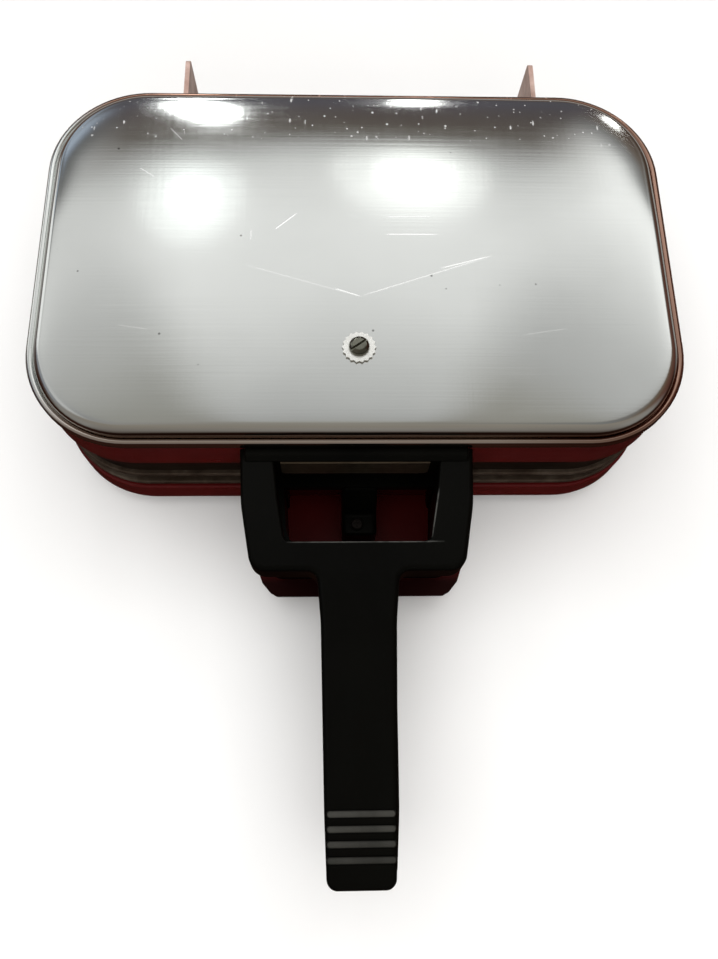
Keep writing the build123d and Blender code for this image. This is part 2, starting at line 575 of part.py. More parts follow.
def bracket(sign):
    p = side(br_pts, BRACKET_X, BRACKET_X + BRACKET_T)
    slot = side([(HINGE_Y - ROD_HOLE_R, HINGE_Z), (HINGE_Y + ROD_HOLE_R, HINGE_Z),
                 (HINGE_Y + ROD_HOLE_R, SLOT_TOP), (HINGE_Y - ROD_HOLE_R, SLOT_TOP)],
                BRACKET_X - 1, BRACKET_X + BRACKET_T + 1)
    slot += rod_x(HINGE_Y, HINGE_Z, ROD_HOLE_R, BRACKET_X - 1, BRACKET_X + BRACKET_T + 1)
    slot += rod_x(HINGE_Y, SLOT_TOP, ROD_HOLE_R, BRACKET_X - 1, BRACKET_X + BRACKET_T + 1)
    p -= slot
    p += box(60.0, BRACKET_X + 0.5, WALL_Y + 0.02, WALL_Y + 1.82, B + 1.5, B + 13.0)
    p -= rod_y(FOOT_RIVET_X, B + 10.5, 1.55, 70, 90)
    p -= rod_y(FOOT_RIVET_X, B + 5.0, 1.55, 70, 90)
    return group(p, sign)


parts["hinge_bracket_right"] = bracket(1)
parts["hinge_bracket_left"] = bracket(-1)


def rivet(x, z, grip):
    """Round-headed rivet through the wall; grip is the thickness of the foot outside it."""
    r = rod_y(x, z, 1.5, WALL_Y - 2.2, WALL_Y + grip + 1.4)
    cap = rod_y(x, z, 2.6, WALL_Y + grip + 0.04, WALL_Y + grip + 1.4)
    cap = fillet([e for e in cap.edges() if abs(e.center().Y - WALL_Y - grip - 1.4) < 0.05], 0.9)
    r += cap
    r += rod_y(x, z, 2.4, WALL_Y - 2.2, WALL_Y - 1.0)
    return r


parts["bracket_rivets"] = Compound(children=[rivet(HINGE_X + sx * FOOT_RIVET_X, z, 1.8)
                                             for sx in (-1, 1) for z in (B + 10.5, B + 5.0)])

# lug of the upper half: a taller plate outside the bracket, level on top and
# rounded about the hinge rod, with a foot riveted to the upper band
lug_pts = [(WALL_Y + 0.02, -19.4), (WALL_Y + 0.02, LUG_TOP), (LUG_REAR, LUG_TOP)] \
    + arc(HINGE_Y, HINGE_Z, LUG_END_R, 0, -168)


def lug(sign):
    p = side(lug_pts, LUG_X, LUG_X + LUG_T)
    p = fillet([e for e in p.edges().filter_by(Axis.X) if e.center().Y > 102.5 and e.center().Z > -5], 2.6)
    p += box(60.0, LUG_X + 0.5, WALL_Y + 0.02, WALL_Y + 1.62, -19.4, LUG_TOP)
    p -= rod_x(HINGE_Y, HINGE_Z, ROD_HOLE_R, LUG_X - 2, LUG_X + LUG_T + 2)
    p -= rod_y(FOOT_RIVET_X, -8.0, 1.55, 70, 90)
    p -= rod_y(FOOT_RIVET_X, -15.5, 1.55, 70, 90)
    return group(p, sign)


parts["hinge_lug_right"] = lug(1)
parts["hinge_lug_left"] = lug(-1)
parts["lug_rivets"] = Compound(children=[rivet(HINGE_X + sx * FOOT_RIVET_X, z, 1.6)
                                         for sx in (-1, 1) for z in (-8.0, -15.5)])

ROD_END = LUG_X + LUG_T + 2.6
hrod = rod_x(HINGE_Y, HINGE_Z, ROD_R, -ROD_END, ROD_END)
hrod = chamfer([e for e in hrod.edges() if abs(abs(e.center().X) - ROD_END) < 0.05], 0.6)
parts["hinge_rod"] = Pos(HINGE_X, 0, 0) * hrod
clips = []
for sx in (-1, 1):
    x0, x1 = sorted((sx * (LUG_X + LUG_T + 0.4), sx * (LUG_X + LUG_T + 1.6)))
    c = rod_x(HINGE_Y, HINGE_Z, 5.2, x0, x1) - rod_x(HINGE_Y, HINGE_Z, ROD_R, x0 - 1, x1 + 1)
    clips.append(Pos(HINGE_X, 0, 0) * c)
parts["rod_clips"] = Compound(children=clips)

# -------------------------------------------------------- appliance inlet
yb = WALL_Y + 0.02
sh = Pos(0, (yb + yb + 25) / 2, INLET_Z) * Rot(90, 0, 0) * extrude(RectangleRounded(35.0, 16.4, 6.0), amount=12.5, both=True)
sh -= Pos(0, (yb + yb + 25) / 2 + 1.2, INLET_Z) * Rot(90, 0, 0) * extrude(RectangleRounded(33.4, 14.8, 5.2), amount=12.5, both=True)
flange = box(-25.0, 25.0, yb, yb + 1.2, INLET_Z - 5.6, INLET_Z + 5.6)
flange = fillet(flange.edges().filter_by(Axis.Y), 3.0)
sh += flange
sh -= box(-13.4, 13.4, yb - 1, yb + 3, INLET_Z - 4.4, INLET_Z + 4.4)
for sx in (-1, 1):
    sh -= rod_y(sx * 21.4, INLET_Z, 1.55, 70, 90)
    low = low - rod_y(sx * 21.4, INLET_Z, 1.55, 70, 85)
parts["inlet_shroud"] = sh
parts["lower_band"] = low

blk = box(-13.2, 13.2, 73.0, yb + 7.0, INLET_Z - 4.2, INLET_Z + 4.2)
blk = fillet(blk.edges().filter_by(Axis.Y), 1.2)
for sx in (-1, 1):
    blk -= rod_y(sx * PIN_PITCH / 2, INLET_Z, 2.52, 60, 90)
parts["inlet_block"] = blk

pins = []
for sx in (-1, 1):
    p = rod_y(sx * PIN_PITCH / 2, INLET_Z, 3.0, yb + 7.05, yb + 22.0)
    p = fillet([e for e in p.edges() if abs(e.center().Y - yb - 22.0) < 0.05], 1.6)
    p += rod_y(sx * PIN_PITCH / 2, INLET_Z, 2.5, 71.0, yb + 8.0)
    pins.append(p)
parts["inlet_pins"] = Compound(children=pins)

earth = []
for sz in (-1, 1):
    z0, z1 = sorted((INLET_Z + sz * 7.35, INLET_Z + sz * 6.65))
    earth.append(box(-3.5, 3.5, yb + 3.0, yb + 18.0, z0, z1))
parts["inlet_earth_springs"] = Compound(children=earth)

inl_scr = []
for sx in (-1, 1):
    s = rod_y(sx * 21.4, INLET_Z, 2.8, yb + 1.22, yb + 3.0)
    s = fillet([e for e in s.edges() if abs(e.center().Y - yb - 3.0) < 0.05], 1.0)
    s -= Pos(sx * 21.4, yb + 3.0, INLET_Z) * Box(6.5, 1.2, 0.8)
    s += rod_y(sx * 21.4, INLET_Z, 1.5, WALL_Y - 4.0, yb + 1.3)
    inl_scr.append(s)
parts["inlet_screws"] = Compound(children=inl_scr)

# links from the inlet's pin tails to the element ends
links = []
for sx in (-1, 1):
    xa, xb = sorted((sx * 7.5, sx * 18.5))
    lk = box(xa, xb, 68.8, 69.6, B + 5.0, B + 11.8)
    lk -= rod_y(sx * EL_OPEN, Z_EL_LO, 1.25, 60, 80)
    tail = box(min(sx * 8.3, sx * 10.7), max(sx * 8.3, sx * 10.7), 69.6, 70.98, B + 5.8, B + 8.2)
    lk += tail
    links.append(lk)
parts["terminal_links"] = Compound(children=links)

# bushes in the rear walls for the lead between the halves
def bush(z):
    b = rod_y(-40.0, z, 5.6, WALL_Y + 0.02, WALL_Y + 3.0)
    b = fillet([e for e in b.edges() if abs(e.center().Y - WALL_Y - 3.0) < 0.05], 1.0)
    b += rod_y(-40.0, z, 4.0, WALL_Y - 1.5, WALL_Y + 0.5)
    b += rod_y(-40.0, z, 5.6, WALL_Y - 2.4, WALL_Y - 1.02)
    b -= rod_y(-40.0, z, 2.6, WALL_Y - 5, WALL_Y + 5)
    return b


parts["upper_lead_bush"] = bush(-14.0)
parts["lower_lead_bush"] = bush(B + 7.0)

# thermostat pressed on the back of the lower plate
th = rod_z(0, 0, 9.5, B + 5.5, LO_PLATE_BACK - 0.02)
th = fillet(edges_near_z(th, B + 5.5), 0.8)
for sx in (-1, 1):
    th += box(min(sx * 3.2, sx * 6.4), max(sx * 3.2, sx * 6.4), 8.5, 15.0, B + 7.8, B + 8.6)
parts["thermostat"] = th
thb = box(-16, 16, -4.5, 4.5, B + 4.6, B + 5.48) + box(-16, -15.2, -4.5, 4.5, B + 4.6, LO_PLATE_BACK - 0.8) \
    + box(15.2, 16, -4.5, 4.5, B + 4.6, LO_PLATE_BACK - 0.8) \
    + box(-23, -15.2, -4.5, 4.5, LO_PLATE_BACK - 0.82, LO_PLATE_BACK - 0.02) \
    + box(15.2, 23, -4.5, 4.5, LO_PLATE_BACK - 0.82, LO_PLATE_BACK - 0.02)
parts["thermostat_bracket"] = thb

# foot screws pass the rubber foot and base cover and bite in the floor of the band
fs = []
for sx in (-1, 1):
    for sy in (-1, 1):
        x, y = sx * FOOT_X, sy * FOOT_Y
        s = pan_head(x, y, B - 7.0, 3.9, 2.2, up=False)
        s += rod_z(x, y, 1.95, B - 7.0, B + 2.0)
        fs.append(s)
parts["foot_screws"] = Compound(children=fs)

# ------------------------------------------------------------------- export
os.makedirs("parts", exist_ok=True)
move = Pos(0, Y_SHIFT, FLOOR_BELOW)
for name, shape in parts.items():
    placed = move * shape
    solids = placed.solids()
    if len(solids) == 1:
        placed = solids[0]
    else:
        placed = Compound(children=[Solid(s.wrapped) if not isinstance(s, Solid) else s for s in solids])
    placed.label = name
    export_step(placed, f"parts/{name}.step")
bb = [1e9, 1e9, 1e9, -1e9, -1e9, -1e9]
for shape in parts.values():
    b = (move * shape).bounding_box()
    bb = [min(bb[0], b.min.X), min(bb[1], b.min.Y), min(bb[2], b.min.Z),
          max(bb[3], b.max.X), max(bb[4], b.max.Y), max(bb[5], b.max.Z)]
print("box", [round(v, 2) for v in bb], "pieces", len(parts))
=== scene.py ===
import bpy
import bmesh
import math
import random
from mathutils import Matrix, Vector


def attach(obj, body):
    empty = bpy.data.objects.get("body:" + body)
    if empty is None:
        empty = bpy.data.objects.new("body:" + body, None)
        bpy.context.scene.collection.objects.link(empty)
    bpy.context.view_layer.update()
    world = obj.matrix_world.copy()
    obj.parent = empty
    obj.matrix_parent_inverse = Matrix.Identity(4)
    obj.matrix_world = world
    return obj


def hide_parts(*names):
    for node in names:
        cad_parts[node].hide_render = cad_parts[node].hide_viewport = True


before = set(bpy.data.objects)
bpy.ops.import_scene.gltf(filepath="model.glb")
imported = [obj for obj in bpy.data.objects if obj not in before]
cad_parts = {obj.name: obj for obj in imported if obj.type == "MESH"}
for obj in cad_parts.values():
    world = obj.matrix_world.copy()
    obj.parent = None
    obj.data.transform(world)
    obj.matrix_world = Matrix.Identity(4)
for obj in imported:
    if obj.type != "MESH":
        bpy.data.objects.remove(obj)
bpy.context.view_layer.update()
random.seed(7)

# ------------------------------------------------------------------ frame
# The build works in millimetres from the body's plan centre and the lid's bead
# line; P() turns that into the shared frame in metres.
Y_SHIFT, FLOOR_BELOW = 61.0, 76.0


def P(x, y, z):
    return Vector((x / 1000.0, (y + Y_SHIFT) / 1000.0, (z + FLOOR_BELOW) / 1000.0))


scene = bpy.context.scene
scene.view_settings.view_transform = "Standard"
scene.view_settings.look = "None"
scene.view_settings.exposure = 0.0
scene.view_settings.gamma = 1.0

# ----------------------------------------------------------------- camera
# fitted to the photograph: 850 px focal length in a 718 x 959 frame
TH, PSI, RHO = math.radians(70.98), math.radians(5.474), math.radians(5.02)
TX, TY, DIST = 8.41, -87.385, 337.216
c, s = math.cos(PSI), math.sin(PSI)


def unturn(v):
    return Vector((c * v[0] + s * v[1], -s * v[0] + c * v[1], v[2]))


right = Vector((1, 0, 0))
up = Vector((0, math.sin(TH), math.cos(TH)))
fwd = Vector((0, math.cos(TH), -math.sin(TH)))
pos = right * TX + up * TY - fwd * DIST
cr, sr = math.cos(RHO), math.sin(RHO)
cam_x = unturn(right * cr + up * sr)
cam_y = unturn(up * cr - right * sr)
cam_z = unturn(-fwd)
o = unturn(pos)
cam_data = bpy.data.cameras.new("camera")
cam_data.sensor_width = 36.0
cam_data.lens = 850.0 * 36.0 / 959.0
cam_data.clip_start = 0.01
camera = bpy.data.objects.new("camera", cam_data)
scene.collection.objects.link(camera)
m = Matrix((cam_x, cam_y, cam_z)).transposed().to_4x4()
m.translation = P(*o)
camera.matrix_world = m
scene.camera = camera


# ---------------------------------------------------------- node shorthand
class Mat:
    """A node material with the few calls that the finishes below need."""

    def __init__(self, name):
        self.m = bpy.data.materials.new(name)
        self.m.use_nodes = True
        self.nt = self.m.node_tree
        self.nt.nodes.clear()
        self.out = self.nt.nodes.new("ShaderNodeOutputMaterial")
        self.b = self.nt.nodes.new("ShaderNodeBsdfPrincipled")
        self.nt.links.new(self.b.outputs[0], self.out.inputs[0])
        self.tc = self.nt.nodes.new("ShaderNodeTexCoord")

    def node(self, kind, **props):
        n = self.nt.nodes.new(kind)
        for k, v in props.items():
            setattr(n, k, v)
        return n

    def link(self, a, b):
        self.nt.links.new(a, b)

    def put(self, socket, value):
        if hasattr(value, "is_output"):
            self.link(value, socket)
        else:
            socket.default_value = value

    def coord(self, scale=(1, 1, 1), loc=(0, 0, 0), rot=(0, 0, 0)):
        n = self.node("ShaderNodeMapping")
        n.inputs["Scale"].default_value = scale
        n.inputs["Location"].default_value = loc
        n.inputs["Rotation"].default_value = rot
        self.link(self.tc.outputs["Object"], n.inputs["Vector"])
        return n.outputs[0]

    def noise(self, vec, scale, detail=3.0, rough=0.5, dist=0.0):
        n = self.node("ShaderNodeTexNoise")
        self.link(vec, n.inputs["Vector"])
        n.inputs["Scale"].default_value = scale
        n.inputs["Detail"].default_value = detail
        n.inputs["Roughness"].default_value = rough
        n.inputs["Distortion"].default_value = dist
        return n.outputs["Fac"]

    def voronoi(self, vec, scale, feature="F1", rand=1.0):
        n = self.node("ShaderNodeTexVoronoi", feature=feature)
        self.link(vec, n.inputs["Vector"])
        n.inputs["Scale"].default_value = scale
        n.inputs["Randomness"].default_value = rand
        return n.outputs["Distance"]

    def ramp(self, fac, stops):
        n = self.node("ShaderNodeValToRGB")
        self.link(fac, n.inputs[0])
        e = n.color_ramp.elements
        while len(e) < len(stops):
            e.new(0.5)
        for el, (p, col) in zip(e, stops):
            el.position = p
            el.color = (*col, 1.0) if len(col) == 3 else col
        return n.outputs[0]

    def range(self, v, a, b, lo, hi, clamp=True):
        n = self.node("ShaderNodeMapRange", clamp=clamp)
        self.put(n.inputs[0], v)
        for i, x in enumerate((a, b, lo, hi)):
            self.put(n.inputs[i + 1], x)
        return n.outputs[0]

    def math(self, op, a, b=None, c=None, clamp=False):
        n = self.node("ShaderNodeMath", operation=op, use_clamp=clamp)
        self.put(n.inputs[0], a)
        if b is not None:
            self.put(n.inputs[1], b)
        if c is not None:
            self.put(n.inputs[2], c)
        return n.outputs[0]

    def mix(self, fac, a, b, blend="MIX"):
        n = self.node("ShaderNodeMix", data_type="RGBA", blend_type=blend)
        self.put(n.inputs[0], fac)
        for sock, v in ((n.inputs[6], a), (n.inputs[7], b)):
            if hasattr(v, "is_output"):
                self.link(v, sock)
            else:
                sock.default_value = (*v, 1.0) if len(v) == 3 else v
        return n.outputs[2]

    def xyz(self):
        n = self.node("ShaderNodeSeparateXYZ")
        self.link(self.tc.outputs["Object"], n.inputs[0])
        return n.outputs

    def bump(self, height, strength, dist=0.001, normal=None):
        n = self.node("ShaderNodeBump")
        n.inputs["Strength"].default_value = strength
        n.inputs["Distance"].default_value = dist
        self.link(height, n.inputs["Height"])
        if normal is not None:
            self.link(normal, n.inputs["Normal"])
        return n.outputs[0]

    def set(self, **kw):
        names = {"color": "Base Color", "metallic": "Metallic", "rough": "Roughness", "ior": "IOR",
                 "normal": "Normal", "spec": "Specular IOR Level", "coat": "Coat Weight",
                 "coat_rough": "Coat Roughness", "aniso": "Anisotropic"}
        for k, v in kw.items():
            sock = self.b.inputs[names[k]]
            if hasattr(v, "is_output"):
                self.link(v, sock)
            elif k == "color":
                sock.default_value = (*v, 1.0)
            else:
                sock.default_value = v
        return self


# --------------------------------------------------------------- materials
def segment_mask(mt, x, y, a, b, width, soft):
    """1 on a thin straight scratch from a to b (metres), fading at its sides and ends."""
    ax, ay = a
    dx, dy = b[0] - a[0], b[1] - a[1]
    ll = dx * dx + dy * dy
    px = mt.math("SUBTRACT", x, ax)
    py = mt.math("SUBTRACT", y, ay)
    t = mt.math("DIVIDE", mt.math("ADD", mt.math("MULTIPLY", px, dx), mt.math("MULTIPLY", py, dy)), ll, clamp=True)
    ex = mt.math("SUBTRACT", px, mt.math("MULTIPLY", t, dx))
    ey = mt.math("SUBTRACT", py, mt.math("MULTIPLY", t, dy))
    d = mt.math("SQRT", mt.math("ADD", mt.math("MULTIPLY", ex, ex), mt.math("MULTIPLY", ey, ey)))
    line = mt.range(d, width, width + soft, 1.0, 0.0)
    fade = mt.math("MULTIPLY", mt.range(t, 0.0, 0.12, 0.15, 1.0), mt.range(t, 0.8, 1.0, 1.0, 0.1))
    return mt.math("MULTIPLY", line, fade)


def chrome_lid():
    mt = Mat("chrome_lid")
    flat = (1, 1, 0)
    brushed = mt.noise(mt.coord(scale=(9, 900, 0)), 1.0, 2.0, 0.6)
    across = mt.noise(mt.coord(scale=(700, 12, 0)), 1.0, 2.0, 0.6)
    cloud = mt.noise(mt.coord(scale=flat), 14.0, 4.0, 0.55)
    smear = mt.noise(mt.coord(scale=(22, 60, 0), rot=(0, 0, 0.25)), 1.0, 5.0, 0.6, 0.6)
    fine = mt.noise(mt.coord(), 900.0, 2.0, 0.5)
    x, y, z = mt.xyz()
    # the long V-shaped scratch and the shorter ones round it
    scr = None
    lines = [((-0.0434, 0.0528), (0.0006, 0.0390), 0.28), ((0.0006, 0.0390), (0.0514, 0.0570), 0.55),
             ((-0.0089, 0.0424), (0.0010, 0.0390), 0.9), ((0.0317, 0.0515), (0.0522, 0.0574), 0.9),
             ((-0.0322, 0.0687), (-0.0233, 0.0766), 1.0), ((0.0108, 0.0667), (0.0324, 0.0669), 0.9),
             ((0.0105, 0.0748), (0.0300, 0.0752), 0.45), ((-0.0870, 0.0980), (-0.0800, 0.0930), 0.5),
             ((-0.0760, 0.1180), (-0.0700, 0.1110), 0.6), ((-0.0415, 0.0640), (-0.0414, 0.0690), 0.4),
             ((0.0620, 0.0230), (0.0800, 0.0260), 0.2), ((-0.0900, 0.0270), (-0.0780, 0.0250), 0.2)]
    for k, (a, b, amp) in enumerate(lines):
        seg = segment_mask(mt, x, y, a, b, 0.00008, 0.00022)
        seg = mt.math("MULTIPLY", seg, amp)
        scr = seg if scr is None else mt.math("MAXIMUM", scr, seg)
    hair = mt.voronoi(mt.coord(scale=(30, 240, 0), rot=(0, 0, 0.5)), 1.0, "DISTANCE_TO_EDGE")
    hair = mt.math("MULTIPLY", mt.range(hair, 0.0, 0.010, 1.0, 0.0),
                   mt.range(mt.noise(mt.coord(), 60.0, 2.0), 0.60, 0.72, 0.0, 0.16))
    # fine specks, thickest along the rear of the panel, and a few dark pits
    spots = None
    for sc, off, lim, stretch in ((330.0, (1, 2, 3), 0.42, 1.0), (210.0, (4, 7, 2), 0.50, 1.0), (260.0, (9, 3, 1), 0.53, 0.30)):
        v = mt.range(mt.voronoi(mt.coord(scale=(1, stretch, 0), loc=(off[0] * 0.01, off[1] * 0.01, 0)), sc, "F1"), 0.06, 0.15, 1.0, 0.0)
        pick = mt.range(mt.noise(mt.coord(scale=flat, loc=off), 170.0, 1.0), lim, lim + 0.04, 0.0, 1.0)
        v = mt.math("MULTIPLY", v, pick)
        spots = v if spots is None else mt.math("MAXIMUM", spots, v)
    rear = mt.range(y, 0.107, 0.117, 0.0, 0.8)
    spots = mt.math("MULTIPLY", spots, rear)
    pits = mt.math("MULTIPLY", mt.range(mt.voronoi(mt.coord(scale=flat, loc=(0.3, 0.1, 0)), 120.0, "F1"), 0.04, 0.07, 1.0, 0.0),
                   mt.range(mt.noise(mt.coord(scale=flat, loc=(8, 8, 0)), 60.0, 1.0), 0.60, 0.64, 0.0, 0.7))
    marks = mt.math("MAXIMUM", mt.math("MAXIMUM", scr, hair), spots)
    col = mt.ramp(cloud, [(0.3, (0.715, 0.730, 0.705)), (0.7, (0.765, 0.780, 0.755))])
    col = mt.mix(marks, col, (0.97, 0.98, 0.97))
    col = mt.mix(pits, col, (0.12, 0.12, 0.11))
    # painted reflection: the rolled bead is tinted brown along the right and the rear, lighter brown along the front,
    # standing in for the warm surroundings it mirrors
    rim = mt.range(z, 0.0784, 0.0792, 1.0, 0.0)
    rim_reflection_tint = mt.math("MAXIMUM", mt.range(x, 0.050, 0.100, 0.0, 1.0), mt.range(y, 0.122, 0.136, 0.0, 1.0))
    col = mt.mix(mt.math("MULTIPLY", rim, mt.range(y, -0.012, 0.006, 0.85, 0.0)), col, (0.62, 0.52, 0.46))
    col = mt.mix(mt.math("MULTIPLY", rim, rim_reflection_tint), col, (0.40, 0.24, 0.18))
    # painted shade: the front shoulder is darkened brown above the crease
    foot = mt.math("MULTIPLY", mt.range(z, 0.0783, 0.0789, 0.0, 1.0), mt.range(z, 0.0812, 0.0826, 1.0, 0.0))
    foot = mt.math("MULTIPLY", foot, mt.range(y, -0.0165, -0.0125, 1.0, 0.0))
    col = mt.mix(foot, col, (0.22, 0.165, 0.13))
    rough = mt.math("ADD", mt.range(brushed, 0.3, 0.7, 0.085, 0.110), mt.range(across, 0.3, 0.7, 0.0, 0.015))
    rough = mt.math("ADD", rough, mt.range(smear, 0.45, 0.75, 0.0, 0.03))
    rough = mt.math("ADD", rough, mt.math("MULTIPLY", hair, 0.3))
    # light scattered by the scratches and specks
    scatter = mt.range(mt.math("MAXIMUM", scr, spots), 0.0, 1.0, 1.0, 0.3)
    n = mt.bump(brushed, 0.03, 0.0002)
    n = mt.bump(across, 0.02, 0.0002, n)
    n = mt.bump(fine, 0.02, 0.0001, n)
    mt.set(color=col, metallic=scatter, rough=rough, normal=n)
    return mt.m


def enamel(name, col_a, col_b, rough_lo, rough_hi, spec=0.5, coat=0.0, front_shade=False):
    mt = Mat(name)
    cloud = mt.noise(mt.coord(), 30.0, 5.0, 0.6)
    peel = mt.noise(mt.coord(), 420.0, 2.0, 0.5)
    dust = mt.noise(mt.coord(), 1400.0, 2.0, 0.6)
    chips = mt.math("MULTIPLY", mt.range(mt.voronoi(mt.coord(), 170.0), 0.05, 0.10, 1.0, 0.0),
                    mt.range(mt.noise(mt.coord(loc=(5, 0, 0)), 40.0, 2.0), 0.64, 0.70, 0.0, 1.0))
    col = mt.ramp(cloud, [(0.3, col_a), (0.7, col_b)])
    col = mt.mix(mt.range(dust, 0.62, 0.74, 0.0, 0.16), col, (0.07, 0.03, 0.026))
    col = mt.mix(chips, col, (0.015, 0.012, 0.012))
    if front_shade:                                # painted shade: darkened to near black towards its front edge, under the handles
        shade_line = mt.math("ADD", mt.xyz()[1], mt.range(cloud, 0.3, 0.7, -0.002, 0.002))
        col = mt.mix(mt.range(shade_line, -0.050, -0.056, 0.0, 0.88), col, (0.004, 0.0006, 0.0005))
    rough = mt.range(mt.noise(mt.coord(scale=(20, 20, 90)), 1.0, 4.0), 0.35, 0.7, rough_lo, rough_hi)
    n = mt.bump(peel, 0.06, 0.0004)
    n = mt.bump(chips, -0.4, 0.0003, n)
    mt.set(color=col, rough=rough, normal=n, spec=spec, coat=coat, coat_rough=0.12)
    return mt.m


def metal(name, col_a, col_b, rough_lo, rough_hi, grain=(40, 900, 900), stain=None, bump=0.08, metallic=1.0, scale=60.0):
    mt = Mat(name)
    g = mt.noise(mt.coord(scale=grain), 1.0, 2.0, 0.6)
    cloud = mt.noise(mt.coord(), scale, 5.0, 0.6)
    col = mt.ramp(cloud, [(0.3, col_a), (0.7, col_b)])
    if stain is not None:
        tint, lo, hi, amt = stain
        col = mt.mix(mt.range(mt.noise(mt.coord(loc=(2, 7, 1)), scale * 0.6, 6.0, 0.65, 0.4), lo, hi, 0.0, amt), col, tint)
    rough = mt.math("ADD", mt.range(g, 0.3, 0.7, rough_lo, rough_hi), mt.range(cloud, 0.5, 0.8, 0.0, 0.08))
    n = mt.bump(g, bump, 0.0003)
    mt.set(color=col, metallic=metallic, rough=rough, normal=n)
    return mt.m


def cast_plate():
    mt = Mat("cast_plate")
    sand = mt.noise(mt.coord(), 900.0, 4.0, 0.6)
    burnt = mt.noise(mt.coord(loc=(1, 1, 1)), 55.0, 6.0, 0.62, 0.5)
    grease = mt.noise(mt.coord(loc=(4, 2, 0)), 140.0, 4.0, 0.6, 0.8)
    col = mt.ramp(burnt, [(0.28, (0.026, 0.016, 0.010)), (0.5, (0.060, 0.042, 0.029)), (0.75, (0.125, 0.100, 0.075))])
    col = mt.mix(mt.range(grease, 0.55, 0.75, 0.0, 0.6), col, (0.026, 0.014, 0.007))
    rough = mt.range(grease, 0.4, 0.7, 0.55, 0.34)
    n = mt.bump(sand, 0.35, 0.0003)
    n = mt.bump(grease, 0.2, 0.0003, n)
    mt.set(color=col, metallic=0.6, rough=rough, normal=n)
    return mt.m


HANDLE_TOP = -5.00
# top plane of the grip, in the shared frame's metres: z = RIB_BASE + RIB_SLOPE * (y - 0.061)
RIB_SLOPE = (-9.8 - HANDLE_TOP) / (-232.0 + 128.0)
RIB_BASE = (76.0 + HANDLE_TOP + RIB_SLOPE * 128.0) / 1000.0


def moulding(name="black_moulding"):
    mt = Mat(name)
    flow = mt.noise(mt.coord(scale=(18, 7, 18)), 1.0, 5.0, 0.6, 0.7)
    fine = mt.noise(mt.coord(), 1500.0, 3.0, 0.6)
    grain = mt.noise(mt.coord(), 380.0, 3.0, 0.55)
    smear = mt.noise(mt.coord(scale=(60, 25, 60), rot=(0.1, 0.2, 0.6)), 1.0, 5.0, 0.62, 0.5)
    nick = mt.math("MULTIPLY", mt.range(mt.voronoi(mt.coord(), 260.0), 0.05, 0.09, 1.0, 0.0),
                   mt.range(mt.noise(mt.coord(loc=(9, 0, 2)), 70.0, 2.0), 0.6, 0.68, 0.0, 1.0))
    col = mt.ramp(flow, [(0.3, (0.0007, 0.0007, 0.0005)), (0.7, (0.0017, 0.0017, 0.0012))])
    col = mt.mix(mt.range(fine, 0.62, 0.72, 0.0, 0.20), col, (0.006, 0.0055, 0.0045))
    col = mt.mix(nick, col, (0.022, 0.020, 0.017))
    # painted highlight: a bright line along the front and the right edge of the handle's window
    ex, ey, ez = mt.xyz()
    window_edge_highlight = mt.math("MULTIPLY", segment_mask(mt, ex, ey, (-0.0262, -0.05365), (0.0300, -0.05365), 0.00008, 0.00028), 0.75)
    side_edge_highlight = segment_mask(mt, ex, ey, (0.02585, -0.0520), (0.02920, -0.0335), 0.00008, 0.00024)
    window_edge_highlight = mt.math("MAXIMUM", window_edge_highlight, mt.math("MULTIPLY", side_edge_highlight, 0.8))
    window_edge_highlight = mt.math("MULTIPLY", window_edge_highlight, mt.range(ez, 0.0693, 0.0700, 0.0, 1.0))
    window_edge_highlight = mt.math("MULTIPLY", window_edge_highlight, mt.range(grain, 0.35, 0.6, 0.45, 1.0))
    col = mt.mix(window_edge_highlight, col, (0.13, 0.13, 0.12))
    # painted highlight: lighter grey crests on the grip's ribs
    x, y, z = mt.xyz()
    over = mt.math("SUBTRACT", z, mt.math("MULTIPLY_ADD", mt.math("SUBTRACT", y, 0.061), RIB_SLOPE, RIB_BASE))
    rib_crest_highlight = mt.math("MULTIPLY", mt.range(over, 0.00042, 0.00078, 0.0, 1.0),
                    mt.math("MULTIPLY", mt.range(y, -0.1385, -0.1400, 0.0, 1.0), mt.range(y, -0.1630, -0.1615, 0.0, 1.0)))
    rib_crest_highlight = mt.math("MULTIPLY", rib_crest_highlight, mt.range(smear, 0.3, 0.62, 0.65, 1.0))
    rib_crest_highlight = mt.math("MULTIPLY", rib_crest_highlight, mt.range(y, -0.161, -0.144, 0.55, 1.0))
    col = mt.mix(rib_crest_highlight, col, (0.050, 0.049, 0.043))
    rough = mt.math("ADD", mt.range(smear, 0.35, 0.7, 0.30, 0.46), mt.math("MULTIPLY", nick, 0.2))
    n = mt.bump(grain, 0.10, 0.0004)
    n = mt.bump(fine, 0.05, 0.0002, n)
    n = mt.bump(nick, -0.3, 0.0003, n)
    mt.set(color=col, rough=rough, normal=n, spec=0.08)
    return mt.m


def ceramic(name, col_a, col_b):
    mt = Mat(name)
    cloud = mt.noise(mt.coord(), 160.0, 4.0, 0.6)
    pits = mt.voronoi(mt.coord(), 1600.0)
    col = mt.ramp(cloud, [(0.3, col_a), (0.7, col_b)])
    mt.set(color=col, rough=mt.range(cloud, 0.3, 0.7, 0.5, 0.75), normal=mt.bump(pits, 0.25, 0.0002))
    return mt.m


def rubber():
    mt = Mat("rubber")
    g = mt.noise(mt.coord(), 1100.0, 3.0, 0.6)
    d = mt.noise(mt.coord(), 90.0, 5.0, 0.6)
    col = mt.ramp(d, [(0.3, (0.012, 0.012, 0.012)), (0.75, (0.04, 0.038, 0.035))])
    mt.set(color=col, rough=mt.range(d, 0.3, 0.7, 0.62, 0.85), normal=mt.bump(g, 0.3, 0.0003), spec=0.35)
    return mt.m


